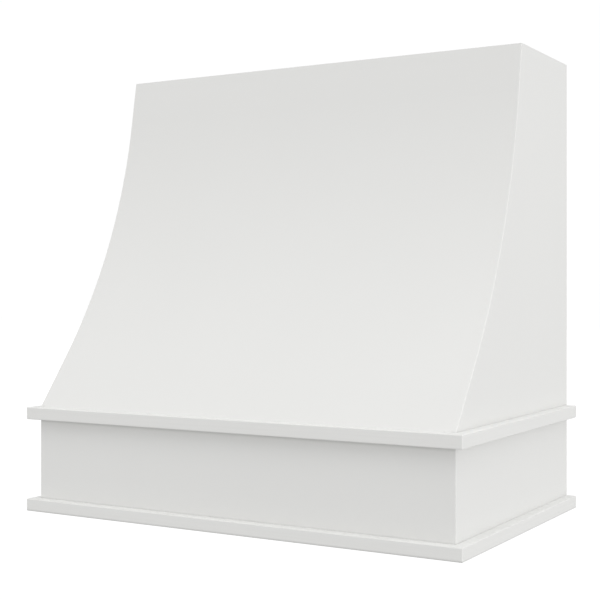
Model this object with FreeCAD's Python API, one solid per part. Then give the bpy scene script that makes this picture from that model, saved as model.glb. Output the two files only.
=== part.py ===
import FreeCAD, Part
import math
import os

# A painted wooden cover for a kitchen range hood, hung on a wall over the cooker. It has flat
# sides, a front that sweeps out in a concave curve, and a straight apron between two square
# block trims. It is an open shell: the blower insert goes up through the underside, and the
# duct leaves through the top.
#
# Lengths are in millimetres. X runs to the right, Y towards the wall and Z up. The origin is on
# the wall, in the middle of the width, level with the underside. "Depth" is measured from the
# wall, so a depth of d lies at Y = -d.

Vector = FreeCAD.Vector

# ---- overall sizes ----
body_width = 914.4
hood_height = 914.4
apron_depth = 578.0
top_depth = 265.0

# ---- front curve: straight at the top, one tangent arc, straight again at the foot ----
top_slope = 9.5  # degrees from upright
top_straight = 96.0
foot_straight = 130.0

# ---- stock ----
board = 19.05
skin_thickness = 6.35
edge_round = 2.0

# ---- block trims ----
trim_projection = 20.0
trim_height = 24.5
trim_round = 2.0
upper_trim_bottom = 186.0
seam_lap = 4.0  # how far the upper trim reaches below the seam that it covers

# ---- body frame ----
rabbet_width = 9.5
rib_count = 2
rib_width = 63.5
top_rail_height = 63.5
body_back_rail_height = 76.2
joining_strip_height = 63.5

# ---- hanging on the wall ----
hanging_rail_height = 95.0
wall_cleat_height = 88.9
cleat_bevel = 45.0  # degrees
cleat_end_gap = 6.0
stud_spacing = 406.4
wall_hole_radius = 2.75
wall_hole_rows = 38.1

# ---- apron box ----
apron_back_rail_height = 114.3
locking_hole_height = 82.5
ledger_recess = 12.7
ledger_height = 38.1
corner_block_leg = 38.1

# ---- dowels ----
dowel_radius = 4.0
dowel_length = 30.0
dowel_in_panel = 12.0
dowel_hole_slack = 1.0
dowel_edge = 16.0  # from the top rail's upper and lower edges

# ---- pocket screws ----
pocket_angle = 15.0  # degrees
pocket_radius = 4.75
pocket_shoulder = 13.0  # from the rail's end to the shoulder that the head bears on
pocket_edge = 19.0
pocket_screw_length = 28.0
pocket_screw_radius = 1.9
pocket_head_radius = 4.4
pocket_head_height = 2.6
screw_sides = 12  # screws are drawn with flats, because they are small and repeat

# ---- worked out from the sizes above ----
half_width = body_width / 2
inner_half = half_width - board
skin_half = inner_half + rabbet_width
upper_trim_top = upper_trim_bottom + trim_height
seam = upper_trim_bottom + seam_lap
strip_bottom = seam - joining_strip_height / 2
strip_top = seam + joining_strip_height / 2
ledger_top = ledger_recess + ledger_height
bevel_rise = board * math.tan(math.radians(cleat_bevel))
cleat_back_top = hood_height - hanging_rail_height
cleat_front_top = cleat_back_top + bevel_rise
cleat_bottom = cleat_front_top - wall_cleat_height
inner_front = -apron_depth + board
reach = 2 * (skin_thickness + rib_width)  # how far construction lines run past the part


def block(x0, x1, y0, y1, z0, z1):
    """A box between two corners, given in either order along X."""
    low, high = sorted((x0, x1))
    return Part.makeBox(high - low, y1 - y0, z1 - z0, Vector(low, y0, z0))


def prism_x(points, x0, x1):
    """A closed outline of (y, z) points, drawn along X."""
    corners = [Vector(x0, y, z) for y, z in points]
    outline = Part.makePolygon(corners + corners[:1])
    return Part.Face(outline).extrude(Vector(x1 - x0, 0, 0))


def prism_z(points, z0, z1):
    """A closed outline of (x, y) points, drawn along Z."""
    corners = [Vector(x, y, z0) for x, y in points]
    outline = Part.makePolygon(corners + corners[:1])
    return Part.Face(outline).extrude(Vector(0, 0, z1 - z0))


def rod(radius, length, start, direction):
    """A straight many-sided rod from start along direction."""
    corners = []
    for number in range(screw_sides):
        angle = 2 * math.pi * number / screw_sides
        corners.append(Vector(radius * math.cos(angle), radius * math.sin(angle), 0))
    upright = Part.Face(Part.makePolygon(corners + corners[:1])).extrude(Vector(0, 0, length))
    upright.Placement = FreeCAD.Placement(start, FreeCAD.Rotation(Vector(0, 0, 1), direction))
    return upright


def out_of_front(angle):
    """The unit normal of a front face that leans back by angle, as (depth, height)."""
    return math.cos(angle), math.sin(angle)


def down_front(angle):
    """The unit direction down a front face that leans back by angle, as (depth, height)."""
    return math.sin(angle), -math.cos(angle)


def front_curve():
    """The front line's slope at the top, its turn and its arc's radius, both angles in radians.

    The two straight lengths and the top slope are given, so the arc is the one that is tangent
    to both and ends the line at the apron's face, level with the top of the upper trim.
    """
    slope = math.radians(top_slope)
    out_depth, out_height = out_of_front(slope)
    down_depth, down_height = down_front(slope)
    depth_left = apron_depth - top_depth - top_straight * down_depth
    height_left = upper_trim_top - hood_height - top_straight * down_height
    along = depth_left * down_depth + height_left * down_height
    across = depth_left * out_depth + height_left * out_height
    turn = 2 * math.atan2(across, along + foot_straight)
    radius = (along - foot_straight * math.cos(turn)) / math.sin(turn)
    return slope, turn, radius


def behind_front(inset, x0, x1):
    """The space from the wall to the front line, which is set back square to itself by inset."""
    slope, turn, radius = front_curve()
    down_depth, down_height = down_front(slope)
    out_depth, out_height = out_of_front(slope)
    centre_depth = top_depth + top_straight * down_depth + radius * out_depth
    centre_height = hood_height + top_straight * down_height + radius * out_height

    def on_arc(angle):
        depth, height = out_of_front(angle)
        return (
            centre_depth - (radius + inset) * depth,
            centre_height - (radius + inset) * height,
        )

    def moved(point, angle, distance):
        depth, height = down_front(angle)
        return point[0] + distance * depth, point[1] + distance * height

    arc_top = on_arc(slope)
    arc_middle = on_arc(slope + turn / 2)
    arc_foot = on_arc(slope + turn)
    top = moved(arc_top, slope, -top_straight - reach)
    foot = moved(arc_foot, slope + turn, foot_straight + reach)

    def at(point):
        return Vector(x0, -point[0], point[1])

    wall_foot = Vector(x0, 0, foot[1])
    wall_top = Vector(x0, 0, top[1])
    edges = [
        Part.LineSegment(at(top), at(arc_top)).toShape(),
        Part.Arc(at(arc_top), at(arc_middle), at(arc_foot)).toShape(),
        Part.LineSegment(at(arc_foot), at(foot)).toShape(),
        Part.LineSegment(at(foot), wall_foot).toShape(),
        Part.LineSegment(wall_foot, wall_top).toShape(),
        Part.LineSegment(wall_top, at(top)).toShape(),
    ]
    return Part.Face(Part.Wire(edges)).extrude(Vector(x1 - x0, 0, 0))


def body_block():
    """The upper body as if it were solid, with its long front corners eased."""
    blank = behind_front(0, -half_width, half_width)
    corners = [
        edge
        for edge in blank.Edges
        if abs(abs(edge.CenterOfMass.x) - half_width) < 0.01
        and edge.CenterOfMass.y < -0.01
        and edge.BoundBox.ZLength > 0.01
    ]
    eased = blank.makeFillet(edge_round, corners)
    return eased.common(block(-half_width, half_width, -apron_depth, 0, seam, hood_height))


def mitred(ring, corner_x, corner_y, z0, z1):
    """A three-sided ring cut at 45 degrees through its front corners: front, left and right."""
    wide = corner_x + reach
    front_wedge = prism_z(
        [
            (-corner_x, corner_y),
            (corner_x, corner_y),
            (wide, corner_y - reach),
            (-wide, corner_y - reach),
        ],
        z0,
        z1,
    )
    front = ring.common(front_wedge)
    sides = ring.cut(front_wedge)
    far = corner_y - reach
    left = sides.common(block(-wide, 0, far, 0, z0, z1))
    right = sides.common(block(0, wide, far, 0, z0, z1))
    return front, left, right


def trim_pieces(bottom):
    """Front, left and right lengths of block trim, mitred round the apron's front corners."""
    outer_half = half_width + trim_projection
    front_y = -apron_depth - trim_projection
    top = bottom + trim_height
    ring = block(-outer_half, outer_half, front_y, 0, bottom, top)
    outer_edges = [edge for edge in ring.Edges if edge.CenterOfMass.y < -0.01]
    ring = ring.makeFillet(trim_round, outer_edges)
    ring = ring.cut(block(-half_width, half_width, -apron_depth, 0, bottom, top))
    return mitred(ring, half_width, -apron_depth, bottom, top)


def apron_boards():
    """Front, left and right apron boards, mitred at the front corners."""
    box = block(-half_width, half_width, -apron_depth, 0, 0, seam)
    corners = [
        edge
        for edge in box.Edges
        if edge.CenterOfMass.y < -apron_depth + 0.01 and edge.BoundBox.ZLength > 0.01
    ]
    box = box.makeFillet(edge_round, corners)
    box = box.cut(block(-inner_half, inner_half, inner_front, 0, 0, seam))
    return mitred(box, inner_half, inner_front, 0, seam)


def top_rail():
    """The rail behind the front panel's top edge, bevelled to the panel's slope."""
    band = behind_front(skin_thickness, -inner_half, inner_half)
    band = band.cut(behind_front(skin_thickness + board, -inner_half, inner_half))
    bottom = hood_height - top_rail_height
    return band.common(block(-inner_half, inner_half, -apron_depth, 0, bottom, hood_height))


def foot_rail():
    """The rail under the front panel's foot. The panel lands on its bevelled top."""
    space = behind_front(skin_thickness, -inner_half, inner_half)
    return space.common(
        block(-inner_half, inner_half, -apron_depth, inner_front, seam, hood_height)
    )


def ribs(notched_for):
    """Curved ribs that back the front panel, evenly spaced between the side panels."""
    bay = 2 * inner_half / (rib_count + 1)
    made = []
    for number in range(rib_count):
        x0 = -inner_half + (number + 1) * bay - board / 2
        x1 = x0 + board
        rib = behind_front(skin_thickness, x0, x1)
        rib = rib.cut(behind_front(skin_thickness + rib_width, x0, x1))
        rib = rib.common(block(x0, x1, -apron_depth, 0, strip_top, hood_height))
        for rail in notched_for:
            rib = rib.cut(rail)
        made.append(rib)
    return made


def hanging_rail():
    """The back rail whose bevelled underside hooks over the wall cleat."""
    return prism_x(
        [
            (0, cleat_back_top),
            (-board, cleat_front_top),
            (-board, hood_height),
            (0, hood_height),
        ],
        -inner_half,
        inner_half,
    )


def wall_cleat():
    """The cleat that is screwed to the wall studs, bevelled to meet the hanging rail."""
    half = inner_half - cleat_end_gap
    cleat = prism_x(
        [
            (0, cleat_bottom),
            (-board, cleat_bottom),
            (-board, cleat_front_top),
            (0, cleat_back_top),
        ],
        -half,
        half,
    )
    middle = (cleat_bottom + cleat_back_top) / 2
    for x in (-stud_spacing / 2, stud_spacing / 2):
        for z in (middle - wall_hole_rows / 2, middle + wall_hole_rows / 2):
            cleat = cleat.cut(wall_hole(x, z))
    return cleat


def wall_hole(x, z):
    """A hole through a back rail, for a washer-headed screw into a wall stud."""
    return Part.makeCylinder(wall_hole_radius, board, Vector(x, -board, z), Vector(0, 1, 0))


def dowel(x_end, y, z, side, slack):
    """A dowel along X across a rail's end at x_end, longer by slack at each end."""
    start = Vector(x_end + side * (dowel_in_panel + slack), y, z)
    length = dowel_length + 2 * slack
    return Part.makeCylinder(dowel_radius, length, start, Vector(-side, 0, 0))


def dowel_places():
    """Where each end of the two front rails is dowelled into a side panel, as (side, y, z)."""
    slope, turn, _ = front_curve()
    places = []
    for side in (-1, 1):
        for z in (hood_height - dowel_edge, hood_height - top_rail_height + dowel_edge):
            face_depth = top_depth + (hood_height - z) * math.tan(slope)
            depth = face_depth - (skin_thickness + board / 2) / math.cos(slope)
            places.append((side, -depth, z))
        foot_y = -apron_depth + board / 2
        foot_height = upper_trim_top - skin_thickness / math.sin(slope + turn)
        foot_height += board / 2 / math.tan(slope + turn)
        places.append((side, foot_y, (seam + foot_height) / 2))
    return places


def dowels(slack):
    """Every dowel of the front rails."""
    return [dowel(side * inner_half, y, z, side, slack) for side, y, z in dowel_places()]


def pocket_screw_places(bottom, top):
    """Head points and directions of the pocket screws at both ends of a back rail."""
    tilt = math.radians(pocket_angle)
    places = []
    for side in (-1, 1):
        direction = Vector(side * math.cos(tilt), math.sin(tilt), 0)
        for z in (bottom + pocket_edge, top - pocket_edge):
            end = Vector(side * inner_half, -board / 2, z)
            places.append((end - direction * pocket_shoulder, direction))
    return places


def pocket_screw(head, direction):
    """A washer-headed screw whose head bears on a pocket's shoulder."""
    top = head - direction * pocket_head_height
    shank = rod(pocket_screw_radius, pocket_screw_length, head, direction)
    return shank.fuse(rod(pocket_head_radius, pocket_head_height, top, direction))


def pocket(head, direction):
    """The slanted pocket that a pocket screw's head is driven through."""
    length = board / math.sin(math.radians(pocket_angle))
    return Part.makeCylinder(pocket_radius, length, head, -direction)


def ledgers():
    """Strips round the inside of the apron that the insert's flange is screwed up into."""
    inside = inner_half - board
    front_y = inner_front + board
    z0 = ledger_recess
    z1 = ledger_top
    return {
        "ledger_front": block(-inner_half, inner_half, inner_front, front_y, z0, z1),
        "ledger_back": block(-inner_half, inner_half, -2 * board, -board, z0, z1),
        "ledger_left": block(-inner_half, -inside, front_y, -2 * board, z0, z1),
        "ledger_right": block(inside, inner_half, front_y, -2 * board, z0, z1),
    }


def joining_strips():
    """Strips inside the seam that tie the upper body to the apron box."""
    inside = inner_half - board
    front_y = inner_front + board
    z0 = strip_bottom
    z1 = strip_top
    return {
        "joining_strip_front": block(-inner_half, inner_half, inner_front, front_y, z0, z1),
        "joining_strip_left": block(-inner_half, -inside, front_y, -board, z0, z1),
        "joining_strip_right": block(inside, inner_half, front_y, -board, z0, z1),
    }


def corner_blocks():
    """Three-cornered glue blocks in the apron's corners, from the ledgers to the back rail's top."""
    made = {}
    for side_name, side in (("left", -1), ("right", 1)):
        for end_name, y, into in (("front", inner_front, 1), ("back", -board, -1)):
            x = side * inner_half
            points = [
                (x, y),
                (x - side * corner_block_leg, y),
                (x, y + into * corner_block_leg),
            ]
            name = "corner_block_" + end_name + "_" + side_name
            made[name] = prism_z(points, ledger_top, apron_back_rail_height)
    return made


def cut_all(shape, tools):
    """The shape with each tool that meets it cut away."""
    for tool in tools:
        if shape.BoundBox.intersect(tool.BoundBox):
            shape = shape.cut(tool)
    return shape


def build():
    """Every piece of the cover and its wall cleat, by name."""
    parts = {}
    body = body_block()
    skin_space = block(-skin_half, skin_half, -apron_depth, 0, seam, hood_height)
    skin = body.common(skin_space)
    parts["curved_front_panel"] = skin.cut(behind_front(skin_thickness, -skin_half, skin_half))
    for name, side in (("left", -1), ("right", 1)):
        half = block(side * inner_half, side * half_width, -apron_depth, 0, seam, hood_height)
        parts["side_panel_" + name] = body.common(half).cut(parts["curved_front_panel"])

    parts["top_front_rail"] = top_rail()
    parts["foot_rail"] = foot_rail()
    rails = (parts["top_front_rail"], parts["foot_rail"])
    for number, rib in enumerate(ribs(rails), 1):
        parts["front_rib_" + str(number)] = rib

    parts["hanging_rail"] = hanging_rail()
    body_rail_top = seam + body_back_rail_height
    parts["body_back_rail"] = block(-inner_half, inner_half, -board, 0, seam, body_rail_top)
    parts.update(joining_strips())

    front, left, right = apron_boards()
    parts["apron_front"] = front
    parts["apron_left"] = left
    parts["apron_right"] = right
    apron_rail = block(-inner_half, inner_half, -board, 0, 0, apron_back_rail_height)
    for x in (-stud_spacing / 2, stud_spacing / 2):
        apron_rail = apron_rail.cut(wall_hole(x, locking_hole_height))
    parts["apron_back_rail"] = apron_rail
    parts.update(ledgers())
    parts.update(corner_blocks())

    for level, bottom in (("upper", upper_trim_bottom), ("lower", 0)):
        front, left, right = trim_pieces(bottom)
        parts[level + "_trim_front"] = front
        parts[level + "_trim_left"] = left
        parts[level + "_trim_right"] = right

    pocket_places = pocket_screw_places(cleat_front_top, hood_height)
    pocket_places += pocket_screw_places(seam, body_rail_top)
    pocket_screws = [pocket_screw(head, direction) for head, direction in pocket_places]
    pockets = [pocket(head, direction) for head, direction in pocket_places]

    for name in ("hanging_rail", "body_back_rail"):
        parts[name] = cut_all(parts[name], pockets + pocket_screws)
    for name in ("side_panel_left", "side_panel_right"):
        parts[name] = cut_all(parts[name], pocket_screws + dowels(dowel_hole_slack))
    for name in ("top_front_rail", "foot_rail"):
        parts[name] = cut_all(parts[name], dowels(dowel_hole_slack))

    parts["rail_dowels"] = Part.makeCompound(dowels(0))
    parts["pocket_screws"] = Part.makeCompound(pocket_screws)
    parts["wall_cleat"] = wall_cleat()
    return parts


os.makedirs("parts", exist_ok=True)
slope_at_top, whole_turn, arc_radius = front_curve()
print("front arc radius", round(arc_radius, 1), "foot slope", round(math.degrees(slope_at_top + whole_turn), 2))
for node, shape in build().items():
    shape.exportStep("parts/" + node + ".step")
    print(node, len(shape.Solids), "solid(s)", round(shape.Volume / 1000, 1), "cm3", shape.isValid())
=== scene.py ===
import math
import random

import bmesh
import bpy
from mathutils import Matrix, Vector
from mathutils.bvhtree import BVHTree


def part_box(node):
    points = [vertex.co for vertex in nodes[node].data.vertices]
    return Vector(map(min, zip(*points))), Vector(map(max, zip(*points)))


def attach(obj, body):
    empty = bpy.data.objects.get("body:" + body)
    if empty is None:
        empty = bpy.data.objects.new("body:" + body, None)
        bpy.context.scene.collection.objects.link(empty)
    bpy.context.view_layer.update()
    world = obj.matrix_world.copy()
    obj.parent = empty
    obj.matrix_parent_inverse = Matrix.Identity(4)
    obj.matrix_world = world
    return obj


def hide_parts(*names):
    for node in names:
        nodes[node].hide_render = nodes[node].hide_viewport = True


# A white painted wooden cover for a kitchen range hood, raw wood inside, with the cleat that it
# hangs on. Lengths are in metres: X to the right, Y into the wall, Z up from the underside.

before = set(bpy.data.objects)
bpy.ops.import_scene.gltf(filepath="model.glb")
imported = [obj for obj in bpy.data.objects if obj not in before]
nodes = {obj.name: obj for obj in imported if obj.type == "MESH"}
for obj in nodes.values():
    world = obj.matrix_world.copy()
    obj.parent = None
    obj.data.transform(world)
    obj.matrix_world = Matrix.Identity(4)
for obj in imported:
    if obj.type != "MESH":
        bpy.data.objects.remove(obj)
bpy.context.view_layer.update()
mm = 0.001

# ---- the frame's own sizes ----
body_low, body_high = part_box("side_panel_right")
half_width = body_high.x
hood_top = body_high.z
seam = body_low.z  # where the curved body stands on the apron's box
board = body_high.x - body_low.x
inner_half = half_width - board
apron_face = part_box("apron_front")[0].y
skin_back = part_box("curved_front_panel")[1].y
cleat_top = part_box("wall_cleat")[1].z
ledger_low, ledger_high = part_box("ledger_front")
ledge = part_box("lower_trim_front")[1].z
trim_low, trim_high = (corner.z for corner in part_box("upper_trim_front"))
both_sides = (("left", -1), ("right", 1))

# ---- camera, from the photograph's level two-point perspective, in a frame 600 pixels wide ----
camera_place = Vector((1.2664, -2.4710, 0.4479))
camera_turn = math.radians(30.3901)
camera_reach = 200.0
focal_pixels = 1227.6
horizon_row = 290.42
image_pixels = 600
sensor_width = 36.0

# ---- light ----
light_above = 0.647
light_below = 0.591
horizon_blur = 0.05  # the sine of the height over which the one passes into the other
wide, narrow = 4.0, 16.0  # the power of the cosine that a light falls off with
soft_lights = (  # where each comes from, how strong it is and how wide
    ((1, 0, 0), 0.925, wide),
    ((-1, -1, 0), 0.194, wide),
    ((0, -1, 2), 1.548, narrow),
    ((1, -1, 3), 1.448, narrow),
)
background_white = 1.01

# ---- floor ----
floor_glow = 0.93
floor_half = 60.0
floor_drop = 1.6  # the cover hangs about this far above a kitchen floor

# ---- boards ----
skin_slanted = 6.44 * mm  # the curved front's thickness along Y at its top, where it leans
board_plies = 13
skin_plies = 5
poplar_figure = (190.0, 0.05)  # growth rings to a metre, and how far they bend, in metres
birch_figure = (75.0, 0.16)
beech_figure = (400.0, 0.02)

# ---- edges ----
eased_edge = 0.6 * mm
joined_within = 0.001 * mm  # points nearer than this become one before the edges are eased
flat_angle = math.radians(0.5)  # faces that meet at less than this are one face
sharp_angle = math.radians(40)  # edges that are sharper than this are eased
smooth_angle = math.radians(35)  # edges of an added piece that are sharper than this stay crisp

# ---- which faces of a board are painted ----
slip = 0.05 * mm  # a face whose middle is this near to a plane lies on it
facing_out = 0.3  # the cosines from which a face looks outward, looks inward and is level
facing_in = 0.5
facing_level = 0.9

# ---- mist of paint on the bare wood, by axis: where it starts, and where it is full ----
spray_low = (("z", 30 * mm, 0.0),)
spray_top = (("z", hood_top - 22 * mm, hood_top),)

# ---- painted shade beside the trims and along their lowest edge: how dark it is, how far it reaches ----
faint_painted_shade = (0.3, 4.0 * mm)
painted_shade_at_ledge = (0.45, 4.0 * mm)
painted_shade_under_trim = (1.0, 9.0 * mm)
painted_shade_on_low_edge = {"front": (1.0, 5.0 * mm), "left": (0.7, 4.0 * mm), "right": (0.7, 4.0 * mm)}

# ---- screws ----
head_radius = 4.4 * mm
head_height = 2.6 * mm
head_sides = 24
washer_height = 0.8 * mm
dome_radius = 3.1 * mm
recess_half = 1.25 * mm
recess_depth = 1.7 * mm
recess_taper = 0.92
shank_radius = 1.9 * mm
shank_sides = 12
plain_length = 7.0 * mm
plain_share = 0.9  # the plain part's radius, as a share of the thread's
thread_pitch = 2.8 * mm
thread_depth = 0.6 * mm
thread_steps = 5  # rings of points to one turn
ridge_slope = 3.0
point_length = 5.0 * mm
point_radius = 0.1 * mm
pocket_tilt = math.radians(15)
pocket_shoulder = 13.0 * mm
pocket_edge = 19.0 * mm
pocket_screw_length = 28.0 * mm
frame_screw_length = 31.75 * mm
strip_row = 16.0 * mm  # above and below the seam that the strips join
front_screws, side_screws, back_screws = 6, 4, 6  # in one row

# ---- glue ----
bead_radius = 1.5 * mm
bead_step = 6.0 * mm
bead_sides = 8
bead_swell = (0.55, 1.35)
bead_change = 0.6  # how much of the way to its next swelling a bead goes in one step
bead_tip, bead_growth = 0.3, 0.5  # its thickness at the very end, and what each step adds

# ---- colours, linear ----
paint_white = (0.80, 0.80, 0.785)
paint_shade = (0.796, 0.796, 0.781)
paint_streak = (0.775, 0.775, 0.758)
# painted light: the lighter white on the trims' level tops
painted_light_on_top = (0.832, 0.832, 0.817)
# painted shade: the darker white at the joints beside the trims and on their lowest edge
painted_shade_colour = (0.60, 0.60, 0.585)
poplar_light = (0.67, 0.56, 0.37)
poplar_dark = (0.50, 0.39, 0.23)
poplar_green = (0.47, 0.44, 0.27)
birch_light = (0.76, 0.61, 0.42)
birch_dark = (0.61, 0.46, 0.29)
end_grain = (0.43, 0.29, 0.16)
glue_line = (0.20, 0.11, 0.055)
beech_light = (0.62, 0.42, 0.24)
beech_dark = (0.46, 0.28, 0.15)
zinc_bright = (0.62, 0.62, 0.60)
zinc_dull = (0.36, 0.35, 0.33)
dried_glue = (0.74, 0.64, 0.42)
glue_thick = (0.62, 0.46, 0.24)
floor_light = (0.09, 0.09, 0.09)
floor_dark = (0.08, 0.08, 0.08)

# ---- roughness, from the smoothest specks to the roughest, and shine ----
paint_rough = (0.36, 0.46)
wood_rough = (0.52, 0.70)
zinc_rough = (0.26, 0.42)
glue_rough = (0.22, 0.38)
floor_rough = 0.8
wood_shine = 0.3
glue_clear = 0.15  # how much of the light goes into the glue, and how deep, in metres
glue_depth = (0.002, 0.0015, 0.0008)


# ---------------------------------------------------------------- node graphs
class Tree:
    """A node tree, with one short call for each kind of node."""

    def __init__(self, tree):
        self.tree = tree
        self.tree.nodes.clear()

    def add(self, kind):
        return self.tree.nodes.new("ShaderNode" + kind)

    def put(self, socket, value):
        """Links a socket's value, or sets it where the value is a plain number or vector."""
        if isinstance(value, bpy.types.NodeSocket):
            self.tree.links.new(value, socket)
        elif value is not None:
            socket.default_value = value

    def maths(self, operation, a, b=None):
        node = self.add("Math")
        node.operation = operation
        self.put(node.inputs[0], a)
        self.put(node.inputs[1], b)
        return node.outputs[0]

    def vector(self, operation, a, b=None):
        node = self.add("VectorMath")
        node.operation = operation
        self.put(node.inputs[0], a)
        self.put(node.inputs[1], b)
        return node.outputs["Value" if operation in ("LENGTH", "DOT_PRODUCT") else "Vector"]

    def axis(self, vector, letter):
        """One of a vector's three coordinates."""
        node = self.add("SeparateXYZ")
        self.put(node.inputs[0], vector)
        return node.outputs["xyz".index(letter)]

    def noise(self, vector, scale, detail):
        node = self.add("TexNoise")
        self.put(node.inputs["Vector"], vector)
        node.inputs["Scale"].default_value = scale
        node.inputs["Detail"].default_value = detail
        return node.outputs["Fac"]

    def fade(self, value, start, end, low=0.0, high=1.0, kind="SMOOTHSTEP"):
        """Runs from low, where value is start, to high, where it is end."""
        node = self.add("MapRange")
        node.interpolation_type = kind
        self.put(node.inputs["Value"], value)
        node.inputs["From Min"].default_value = start
        node.inputs["From Max"].default_value = end
        node.inputs["To Min"].default_value = low
        node.inputs["To Max"].default_value = high
        return node.outputs["Result"]

    def mix(self, factor, a, b):
        node = self.add("Mix")
        node.data_type = "RGBA"
        self.put(node.inputs["Factor"], factor)
        for socket, colour in ((node.inputs[6], a), (node.inputs[7], b)):
            self.put(socket, colour if isinstance(colour, bpy.types.NodeSocket) else (*colour, 1))
        return node.outputs[2]

    def bump(self, height, distance, strength, under=None):
        node = self.add("Bump")
        node.inputs["Strength"].default_value = strength
        node.inputs["Distance"].default_value = distance
        self.put(node.inputs["Height"], height)
        self.put(node.inputs["Normal"], under)
        return node.outputs["Normal"]


class Graph(Tree):
    """A new material's node tree."""

    def __init__(self, name):
        self.material = bpy.data.materials.new(name)
        self.material.use_nodes = True
        super().__init__(self.material.node_tree)
        output = self.add("OutputMaterial")
        self.shader = self.add("BsdfPrincipled")
        self.put(output.inputs["Surface"], self.shader.outputs[0])
        coordinates = self.add("TexCoord")
        self.place = coordinates.outputs["Object"]
        self.normal = coordinates.outputs["Normal"]

    def finish(self, colour, roughness, normal=None, specular=0.5, metallic=0.0):
        self.put(self.shader.inputs["Base Color"], colour)
        self.put(self.shader.inputs["Roughness"], roughness)
        self.put(self.shader.inputs["Normal"], normal)
        self.shader.inputs["Specular IOR Level"].default_value = specular
        self.shader.inputs["Metallic"].default_value = metallic
        return self.material


def stretched(graph, along, squeeze, shift=(0, 0, 0)):
    """The object's coordinates drawn out along one axis, as wood fibres are."""
    scale = Vector((1, 1, 1))
    scale["xyz".index(along)] = squeeze
    moved = graph.vector("ADD", graph.place, shift)
    return graph.vector("MULTIPLY", moved, scale)


# ---------------------------------------------------------------- finishes
def paint_layers(graph, grain=None):
    """Sprayed satin paint: its colour, roughness and normal."""
    cloud = graph.noise(graph.place, 5.0, detail=3.0)
    speck = graph.noise(graph.place, 260.0, detail=1.0)
    colour = graph.mix(graph.fade(cloud, 0.3, 0.7), paint_white, paint_shade)
    roughness = graph.fade(speck, 0.25, 0.75, *paint_rough)
    peel = graph.bump(speck, distance=0.00012, strength=0.25)
    if grain:
        fibres = graph.noise(stretched(graph, grain, squeeze=0.03), 420.0, detail=3.0)
        peel = graph.bump(fibres, distance=0.00018, strength=0.35, under=peel)
        streaks = graph.noise(stretched(graph, grain, squeeze=0.02), 300.0, detail=2.0)
        colour = graph.mix(graph.fade(streaks, 0.35, 0.7, high=0.5), colour, paint_streak)
    return colour, roughness, peel


def with_painted_shade(graph, colour, joints):
    """Paint darkened with painted shade at level joints and edges, except on faces that look
    straight down, from a list of (height, (how dark, how far))."""
    near = None
    for height, (dark, reach) in joints:
        gap = graph.maths("ABSOLUTE", graph.maths("SUBTRACT", graph.axis(graph.place, "z"), height))
        part = graph.fade(gap, 0.0, reach, low=dark, high=0.0)
        near = part if near is None else graph.maths("MAXIMUM", near, part)
    not_below = graph.fade(graph.axis(graph.normal, "z"), -0.97, -0.8)
    return graph.mix(graph.maths("MULTIPLY", near, not_below), colour, painted_shade_colour)


def painted(name, grain=None, painted_shade_lines=()):
    """A painted surface. Solid wood under it shows a trace of its grain, and a trim's level top is
    painted lighter, as painted light."""
    graph = Graph(name)
    colour, roughness, normal = paint_layers(graph, grain)
    if grain:
        # painted light on the trims' level tops
        on_top = graph.fade(graph.axis(graph.normal, "z"), 0.6, 0.95)
        colour = graph.mix(on_top, colour, painted_light_on_top)
    # painted shade at the joints beside the trims
    if painted_shade_lines:
        colour = with_painted_shade(graph, colour, painted_shade_lines)
    return graph.finish(colour, roughness, normal)


def overspray(graph, colour, roughness, mask):
    """Wood colours and roughness under a mist of paint dots, which close up where the mask is
    high."""
    drift = graph.noise(graph.place, 14.0, detail=2.0)
    mist = graph.noise(graph.place, 1300.0, detail=2.0)
    reach = graph.maths("ADD", mask, graph.fade(drift, 0.3, 0.7, -0.07, 0.07))
    needed = graph.fade(reach, 0.0, 1.0, 0.72, 0.34)
    cover = graph.fade(graph.maths("SUBTRACT", mist, needed), -0.12, 0.12)
    cover = graph.maths("MULTIPLY", cover, graph.fade(mask, 0.0, 0.12))
    shown = graph.mix(cover, colour, paint_white)
    return shown, graph.maths("SUBTRACT", roughness, graph.maths("MULTIPLY", cover, 0.15))


def spray_mask(graph, where):
    """How much paint mist reaches a place, from a list of (axis, clean at, full at)."""
    total = None
    for axis, clean, full in where:
        part = graph.fade(graph.axis(graph.place, axis), clean, full)
        total = part if total is None else graph.maths("MAXIMUM", total, part)
    return total


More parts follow.
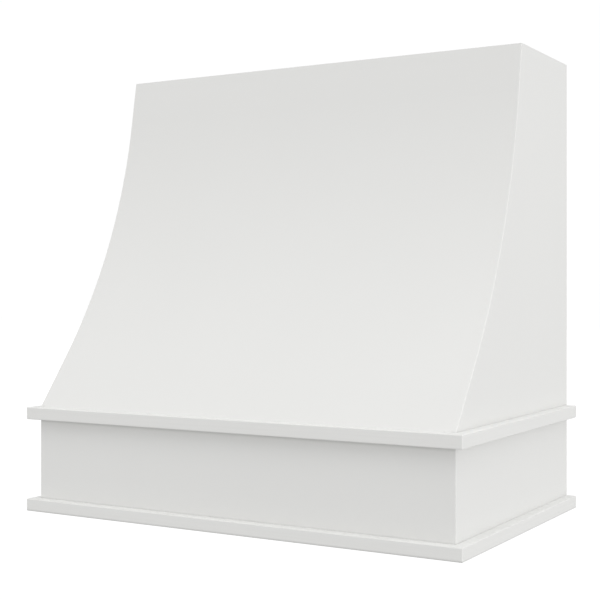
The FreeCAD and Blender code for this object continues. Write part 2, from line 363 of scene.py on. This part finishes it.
def wood_layers(graph, along, seed, colours, rings, wander):
    """Growth rings, fibres and mineral streaks of a sawn board: colour, roughness and height.

    rings is about how many there are to a metre, and wander is how far they bend, in metres."""
    light, dark, streak = colours
    rng = random.Random(seed)
    shift = [rng.uniform(-3, 3) for _ in range(3)]
    heart = [rng.uniform(0.05, 0.12) * rng.choice((-1, 1)) for _ in range(3)]
    heart["xyz".index(along)] = 0
    across = [1.0, 1.0, 1.0]
    across["xyz".index(along)] = 0

    def drawn_out(squeeze, scale, detail):
        return graph.noise(stretched(graph, along, squeeze, shift), scale, detail)

    drift = drawn_out(0.10, 11.0, detail=2.0)
    seasons = drawn_out(0.02, 60.0, detail=2.0)
    fibres = drawn_out(0.025, 520.0, detail=4.0)
    mineral = drawn_out(0.12, 22.0, detail=3.0)
    from_heart = graph.vector("ADD", graph.vector("MULTIPLY", graph.place, across), heart)
    distance = graph.vector("LENGTH", from_heart)
    bent = graph.maths("ADD", distance, graph.maths("MULTIPLY", drift, wander))
    turns = graph.maths("MULTIPLY", bent, rings)
    turns = graph.maths("ADD", turns, graph.maths("MULTIPLY", seasons, 1.6))
    ring = graph.maths("FRACT", turns)
    late = graph.maths("MULTIPLY", graph.fade(ring, 0.2, 0.93), graph.fade(ring, 1.0, 0.95))
    strength = graph.fade(seasons, 0.3, 0.7, 0.2, 0.6)
    colour = graph.mix(graph.maths("MULTIPLY", late, strength), light, dark)
    colour = graph.mix(graph.fade(mineral, 0.52, 0.75, high=0.7), colour, streak)
    colour = graph.mix(graph.fade(fibres, 0.52, 0.75, high=0.45), colour, dark)
    roughness = graph.fade(fibres, 0.2, 0.8, *wood_rough)
    height = graph.maths("ADD", fibres, graph.maths("MULTIPLY", late, 0.25))
    return colour, roughness, height


def misted(graph, colour, roughness, height, spray):
    """Finishes bare wood, with paint mist where there is any."""
    normal = graph.bump(height, distance=0.0003, strength=0.35)
    if spray:
        colour, roughness = overspray(graph, colour, roughness, spray_mask(graph, spray))
    return graph.finish(colour, roughness, normal, specular=wood_shine)


def solid_wood(name, along, seed, spray=()):
    """Bare sanded poplar, its grain running along one axis."""
    graph = Graph(name)
    colours = (poplar_light, poplar_dark, poplar_green)
    colour, roughness, height = wood_layers(graph, along, seed, colours, *poplar_figure)
    return misted(graph, colour, roughness, height, spray)


def plywood(name, along, across, start, thickness, plies, seed, spray=()):
    """Bare birch plywood: a peeled face veneer, and edges that show the crossed plies."""
    graph = Graph(name)
    colours = (birch_light, birch_dark, birch_dark)
    colour, roughness, height = wood_layers(graph, along, seed, colours, *birch_figure)
    colour = graph.mix(0.15, colour, birch_light)
    layer = graph.maths("SUBTRACT", graph.axis(graph.place, across), start)
    layer = graph.maths("MULTIPLY", layer, plies / thickness)
    half = graph.maths("FRACT", graph.maths("MULTIPLY", layer, 0.5))
    crossed = graph.fade(half, 0.49, 0.51)
    pith = graph.noise(graph.place, 700.0, detail=3.0)
    edge = graph.mix(crossed, birch_light, end_grain)
    edge = graph.mix(graph.fade(pith, 0.4, 0.7, high=0.5), edge, birch_dark)
    glued = graph.maths("ABSOLUTE", graph.maths("SUBTRACT", graph.maths("FRACT", layer), 0.5))
    edge = graph.mix(graph.fade(glued, 0.42, 0.49), edge, glue_line)
    on_edge = graph.fade(graph.maths("ABSOLUTE", graph.axis(graph.normal, across)), 0.7, 0.5)
    colour = graph.mix(on_edge, colour, edge)
    height = graph.maths("ADD", height, graph.maths("MULTIPLY", pith, on_edge))
    return misted(graph, colour, roughness, height, spray)


def turned_beech(name):
    """Turned beech, with the short dark flecks of its rays."""
    graph = Graph(name)
    colours = (beech_light, beech_dark, beech_dark)
    colour, roughness, height = wood_layers(graph, "x", 5, colours, *beech_figure)
    normal = graph.bump(height, distance=0.0002, strength=0.4)
    return graph.finish(colour, roughness, normal, specular=wood_shine)


def zinc(name):
    """Bright zinc plate with dull spangles and a trace of drawing marks."""
    graph = Graph(name)
    spangle = graph.noise(graph.place, 380.0, detail=3.0)
    fine = graph.noise(graph.place, 2600.0, detail=2.0)
    colour = graph.mix(graph.fade(spangle, 0.4, 0.7), zinc_bright, zinc_dull)
    roughness = graph.fade(fine, 0.2, 0.8, *zinc_rough)
    normal = graph.bump(fine, distance=0.00004, strength=0.4)
    return graph.finish(colour, roughness, normal, metallic=1.0)


def glue(name):
    """Dried glue: yellowish, half clear and glossy."""
    graph = Graph(name)
    cloud = graph.noise(graph.place, 300.0, detail=2.0)
    colour = graph.mix(graph.fade(cloud, 0.3, 0.7), dried_glue, glue_thick)
    graph.shader.inputs["Subsurface Weight"].default_value = glue_clear
    graph.shader.inputs["Subsurface Radius"].default_value = glue_depth
    roughness = graph.fade(cloud, 0.3, 0.7, *glue_rough)
    return graph.finish(colour, roughness, graph.bump(cloud, distance=0.0003, strength=0.5))


# ---------------------------------------------------------------- the frame's own pieces
def dress(name, outside, inside=None, shown=None):
    """Gives a node its finish: outside on the faces that shown picks, inside on the rest."""
    mesh = nodes[name].data
    mesh.materials.clear()
    mesh.materials.append(outside)
    if inside is None:
        return
    mesh.materials.append(inside)
    for face in mesh.polygons:
        face.material_index = 0 if shown(face) else 1


def outer_faces(x, y):
    """Picks the faces that look out toward (x, y), and those that look straight down."""
    out = Vector((x, y, 0))
    return lambda face: face.normal.dot(out) > facing_out or face.normal.z < -facing_level


def side_faces(sign):
    """Picks a side panel's outer face and what looks forward. The rest is bare: what looks inward,
    and the level and back edges."""

    def shown(face):
        inner = face.center.x * sign <= inner_half + slip or face.normal.x * sign <= -facing_in
        level = face.center.z >= hood_top - slip or abs(face.normal.z) >= facing_level
        return not (inner or level or face.center.y >= -slip)

    return shown


def eased(name):
    """Breaks a node's sharp edges slightly, as sandpaper does."""
    node = nodes[name]
    weld = node.modifiers.new("joined", "WELD")
    weld.merge_threshold = joined_within
    whole = node.modifiers.new("whole_faces", "DECIMATE")
    whole.decimate_type = "DISSOLVE"
    whole.angle_limit = flat_angle
    bevel = node.modifiers.new("eased", "BEVEL")
    bevel.width = eased_edge
    bevel.segments = 2
    bevel.limit_method = "ANGLE"
    bevel.angle_limit = sharp_angle


# painted shade at the joints beside the trims; on the front it is darker, under the upper trim and
# above the ledge
smooth_paint = painted(
    "paint_on_plywood",
    painted_shade_lines=[(height, faint_painted_shade) for height in (ledge, trim_low, trim_high)],
)
front_paint = painted(
    "paint_on_front",
    painted_shade_lines=((ledge, painted_shade_at_ledge), (trim_low, painted_shade_under_trim)),
)
for place, grain in (("front", "x"), ("left", "y"), ("right", "y")):
    # painted shade along each trim's lowest edge, which faces down
    trim_paint = painted("paint_on_poplar_" + place, grain, ((0.0, painted_shade_on_low_edge[place]),))
    for level in ("upper", "lower"):
        dress(f"{level}_trim_{place}", trim_paint)

for side, sign, start, seed in (("left", -1, -half_width, 11), ("right", 1, inner_half, 12)):
    dress(
        "side_panel_" + side,
        smooth_paint,
        plywood("birch_ply_side_" + side, "z", "x", start, board, board_plies, seed, spray_top),
        side_faces(sign),
    )
skin_start = skin_back - skin_slanted
dress(
    "curved_front_panel",
    front_paint,
    plywood("birch_ply_front", "x", "y", skin_start, skin_slanted, skin_plies, 13, spray_top),
    outer_faces(0, -1),
)
for place, out, paint, grain, across, start, seed in (
    ("front", (0, -1), front_paint, "x", "y", apron_face, 14),
    ("left", (-1, 0), smooth_paint, "y", "x", -half_width, 15),
    ("right", (1, 0), smooth_paint, "y", "x", inner_half, 16),
):
    bare = plywood(
        "birch_ply_apron_" + place, grain, across, start, board, board_plies, seed, spray_low
    )
    dress("apron_" + place, paint, bare, outer_faces(*out))

poplar_pieces = {  # the way that the grain runs, the seed of its figure, and the paint mist
    "top_front_rail": ("x", 21, spray_top),
    "foot_rail": ("x", 22, ()),
    "hanging_rail": ("x", 23, spray_top),
    "body_back_rail": ("x", 24, ()),
    "joining_strip_front": ("x", 25, ()),
    "joining_strip_left": ("y", 26, ()),
    "joining_strip_right": ("y", 27, ()),
    "apron_back_rail": ("x", 28, spray_low),
    "ledger_front": ("x", 29, spray_low),
    "ledger_back": ("x", 30, spray_low),
    "ledger_left": ("y", 31, spray_low),
    "ledger_right": ("y", 32, spray_low),
    "corner_block_front_left": ("z", 33, ()),
    "corner_block_front_right": ("z", 34, ()),
    "corner_block_back_left": ("z", 35, ()),
    "corner_block_back_right": ("z", 36, ()),
}
for name, (along, seed, spray) in poplar_pieces.items():
    dress(name, solid_wood("poplar_" + name, along, seed, spray))

for name, seed in (("front_rib_1", 41), ("front_rib_2", 42)):
    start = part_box(name)[0].x
    bare = plywood("birch_ply_" + name, "z", "x", start, board, board_plies, seed, spray_top)
    dress(name, bare)
dress("wall_cleat", plywood("birch_ply_cleat", "x", "y", -board, board, board_plies, 43))
dress("rail_dowels", turned_beech("turned_beech"))
zinc_plate = zinc("zinc_plate")
dress("pocket_screws", zinc_plate)
for name in (*poplar_pieces, "front_rib_1", "front_rib_2", "wall_cleat"):
    eased(name)


# ---------------------------------------------------------------- added pieces
def add_piece(name, build, material):
    """Makes a piece of the cover from what build draws in an empty bmesh."""
    drawn = bmesh.new()
    build(drawn)
    bmesh.ops.recalc_face_normals(drawn, faces=drawn.faces)
    for face in drawn.faces:
        face.smooth = True
    mesh = bpy.data.meshes.new(name)
    drawn.to_mesh(mesh)
    drawn.free()
    mesh.set_sharp_from_angle(angle=smooth_angle)
    mesh.materials.append(material)
    piece = bpy.data.objects.new(name, mesh)
    bpy.context.scene.collection.objects.link(piece)
    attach(piece, "cover")
    return piece


def closed_skin(drawn, loops):
    """Joins each loop of points to the one before it, and closes both ends."""
    for low, high in zip(loops, loops[1:]):
        for number in range(len(low)):
            after = (number + 1) % len(low)
            drawn.faces.new((low[number], low[after], high[after], high[number]))
    drawn.faces.new(list(reversed(loops[0])))
    drawn.faces.new(loops[-1])


# ---------------------------------------------------------------- screws
def turned(drawn, matrix, sides, rings):
    """A closed shape from rings of (height, radius), where a radius may depend on the angle."""
    loops = []
    for height, radius in rings:
        loop = []
        for number in range(sides):
            angle = 2 * math.pi * number / sides
            reach = radius(angle) if callable(radius) else radius
            place = Vector((reach * math.cos(angle), reach * math.sin(angle), height))
            loop.append(drawn.verts.new(matrix @ place))
        loops.append(loop)
    closed_skin(drawn, loops)


def square(half):
    """The radius, by angle, of a square's outline."""
    return lambda angle: half / max(abs(math.cos(angle)), abs(math.sin(angle)))


def thread(height, length):
    """The radius, by angle, of a threaded shank at a height below its head."""
    core = shank_radius - thread_depth
    taper = min(1.0, (height + length) / point_length)

    def radius(angle):
        turn = (height / thread_pitch - angle / (2 * math.pi)) % 1.0
        ridge = max(0.0, 1.0 - abs(turn - 0.5) * ridge_slope)
        return taper * (core + thread_depth * ridge)

    return radius


head_rings = [  # from under the washer, up over its rim and the dome, and down into the recess
    (0, shank_radius),
    (0, head_radius - 0.2 * mm),
    (0.2 * mm, head_radius),
    (washer_height - 0.2 * mm, head_radius),
    (washer_height, head_radius - 0.3 * mm),
    (washer_height + 0.1 * mm, dome_radius + 0.2 * mm),
    (washer_height + 0.4 * mm, dome_radius),
    (head_height - 0.6 * mm, dome_radius - 0.15 * mm),
    (head_height - 0.2 * mm, dome_radius - 0.5 * mm),
    (head_height, dome_radius - 1.0 * mm),
    (head_height, square(recess_half)),
    (head_height - recess_depth, square(recess_half * recess_taper)),
]


def shank_rings(length):
    """From the point up the thread and the plain part to the head."""
    rings = [(-length, point_radius)]
    step = thread_pitch / thread_steps
    height = -length + step / 2
    while height < -plain_length:
        rings.append((height, thread(height, length)))
        height += step
    plain = shank_radius * plain_share
    return rings + [(-plain_length, plain), (0, plain)]


def screw(drawn, place, direction, length):
    """A washer-headed screw with a square recess. It is driven along direction, and its head bears
    on place."""
    turn = direction.to_track_quat("-Z", "Y").to_matrix().to_4x4()
    matrix = Matrix.Translation(place) @ turn
    turned(drawn, matrix, head_sides, head_rings)
    turned(drawn, matrix, shank_sides, shank_rings(length))


def evenly(low, high, count):
    """The middles of equal stretches between two ends."""
    return [low + (high - low) * (number + 0.5) / count for number in range(count)]


def pocket_places():
    """Where the screws in the back rails' pockets bear, and the way that they are driven."""
    rail_low, rail_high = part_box("body_back_rail")
    places = []
    for low, high in ((cleat_top, hood_top), (rail_low.z, rail_high.z)):
        for _, sign in both_sides:
            direction = Vector((sign * math.cos(pocket_tilt), math.sin(pocket_tilt), 0))
            for z in (low + pocket_edge, high - pocket_edge):
                end = Vector((sign * inner_half, -board / 2, z))
                places.append((end - direction * pocket_shoulder, direction))
    return places


def row_places(z, back_y, back_count):
    """Screws at one height along the inside of the front and the sides, and back_count of them
    along the back."""
    inside = inner_half - board
    front_y = ledger_high.y
    places = []
    for x in evenly(-inside, inside, front_screws):
        places.append((Vector((x, front_y, z)), Vector((0, -1, 0))))
    for _, sign in both_sides:
        for y in evenly(front_y, back_y, side_screws):
            places.append((Vector((sign * inside, y, z)), Vector((sign, 0, 0))))
    for x in evenly(-inside, inside, back_count):
        places.append((Vector((x, back_y, z)), Vector((0, 1, 0))))
    return places


def screws(name, places, length):
    def build(drawn):
        for place, direction in places:
            screw(drawn, place, direction, length)

    return add_piece(name, build, zinc_plate)


pocket_set = screws("pocket_screw_set", pocket_places(), pocket_screw_length)
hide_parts("pocket_screws")
ledger_middle = (ledger_low.z + ledger_high.z) / 2
screws("ledger_screws", row_places(ledger_middle, -2 * board, back_screws), frame_screw_length)
for row, z in (("lower", seam - strip_row), ("upper", seam + strip_row)):
    screws(f"joining_screws_{row}", row_places(z, -board, 0), frame_screw_length)


# ---------------------------------------------------------------- glue
def bead(drawn, path, rng):
    """An uneven string of squeezed-out glue along a path that keeps one X."""
    sideways = Vector((1, 0, 0))
    last = len(path) - 1
    loops = []
    swell = 1.0
    for number, place in enumerate(path):
        before, after = path[max(number - 1, 0)], path[min(number + 1, last)]
        out = (after - before).normalized().cross(sideways)
        swell += (rng.uniform(*bead_swell) - swell) * bead_change
        end = min(number, last - number)
        radius = bead_radius * swell * min(1.0, bead_tip + bead_growth * end)
        loop = []
        for corner in range(bead_sides):
            angle = 2 * math.pi * corner / bead_sides
            offset = sideways * math.cos(angle) + out * math.sin(angle)
            loop.append(drawn.verts.new(place + offset * radius))
        loops.append(loop)
    closed_skin(drawn, loops)


def upright(x, y, low, high):
    """Places up a plumb line, about one step of a bead apart."""
    count = round((high - low) / bead_step)
    return [Vector((x, y, low + (high - low) * number / count)) for number in range(count + 1)]


def block_beads(drawn):
    """Beads down both free edges of the four corner blocks."""
    rng = random.Random(51)
    for end in ("front", "back"):
        for side, sign in both_sides:
            low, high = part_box(f"corner_block_{end}_{side}")
            wall_y, free_y = (low.y, high.y) if end == "front" else (high.y, low.y)
            free_x = low.x if sign > 0 else high.x
            for x, y in ((free_x, wall_y), (sign * inner_half, free_y)):
                bead(drawn, upright(x, y, low.z + bead_step, high.z - bead_step), rng)


def rib_beads(drawn):
    """Beads where the ribs meet the back of the curved front."""
    rng = random.Random(52)
    skin = nodes["curved_front_panel"].data
    tree = BVHTree.FromPolygons([v.co for v in skin.vertices], [f.vertices for f in skin.polygons])
    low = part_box("foot_rail")[1].z + bead_step
    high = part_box("top_front_rail")[0].z - bead_step
    for number in (1, 2):
        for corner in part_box(f"front_rib_{number}"):
            path = []
            for start in upright(corner.x, 0, low, high):
                path.append(tree.ray_cast(start, Vector((0, -1, 0)))[0])
            bead(drawn, path, rng)


dried = glue("dried_glue")
add_piece("corner_block_glue", block_beads, dried)
add_piece("rib_glue", rib_beads, dried)


# ---------------------------------------------------------------- room
def pale_floor():
    """A plain floor that glows, so that it looks white. Only the camera sees it, and it throws
    neither light nor shadow on the cover."""
    mesh = bpy.data.meshes.new("floor")
    corners = ((-1, -1), (1, -1), (1, 1), (-1, 1))
    places = [(x * floor_half, y * floor_half, -floor_drop) for x, y in corners]
    mesh.from_pydata(places, [], [(0, 1, 2, 3)])
    floor = bpy.data.objects.new("floor", mesh)
    bpy.context.scene.collection.objects.link(floor)
    graph = Graph("pale_floor")
    graph.shader.inputs["Emission Color"].default_value = (1, 1, 1, 1)
    graph.shader.inputs["Emission Strength"].default_value = floor_glow
    cloud = graph.noise(graph.place, 0.7, detail=3.0)
    mesh.materials.append(graph.finish(graph.mix(cloud, floor_light, floor_dark), floor_rough))
    floor.visible_diffuse = False
    floor.visible_glossy = False
    floor.visible_shadow = False


def studio_light():
    """Soft light from all round, a little stronger from above, with a wide light on the right, a
    faint one at the front left and two narrower ones high in front. The camera itself sees plain
    white round the cover."""
    world = bpy.data.worlds.new("studio")
    bpy.context.scene.world = world
    world.use_nodes = True
    sky = Tree(world.node_tree)
    direction = sky.add("TexCoord").outputs["Generated"]
    height = sky.axis(direction, "z")
    total = sky.fade(height, -horizon_blur, horizon_blur, light_below, light_above, kind="LINEAR")
    for source, strength, spread in soft_lights:
        facing = sky.vector("DOT_PRODUCT", direction, Vector(source).normalized())
        lobe = sky.maths("POWER", sky.maths("MAXIMUM", facing, 0.0), spread)
        total = sky.maths("ADD", sky.maths("MULTIPLY", lobe, strength), total)
    either = sky.add("MixShader")
    sky.put(either.inputs[0], sky.add("LightPath").outputs["Is Camera Ray"])
    for socket, strength in ((either.inputs[1], total), (either.inputs[2], background_white)):
        shader = sky.add("Background")
        shader.inputs["Color"].default_value = (1, 1, 1, 1)
        sky.put(shader.inputs["Strength"], strength)
        sky.put(socket, shader.outputs[0])
    sky.put(sky.add("OutputWorld").inputs["Surface"], either.outputs[0])


def photo_camera():
    """The camera at the photograph's place, level, with its horizon above the middle."""
    data = bpy.data.cameras.new("camera")
    data.sensor_width = sensor_width
    data.lens = focal_pixels / image_pixels * sensor_width
    data.shift_y = (horizon_row - image_pixels / 2) / image_pixels
    data.clip_end = camera_reach
    camera = bpy.data.objects.new("camera", data)
    camera.location = camera_place
    camera.rotation_euler = (math.pi / 2, 0, camera_turn)
    bpy.context.scene.collection.objects.link(camera)
    bpy.context.scene.camera = camera


pale_floor()
studio_light()
photo_camera()
bpy.context.scene.view_settings.view_transform = "Standard"
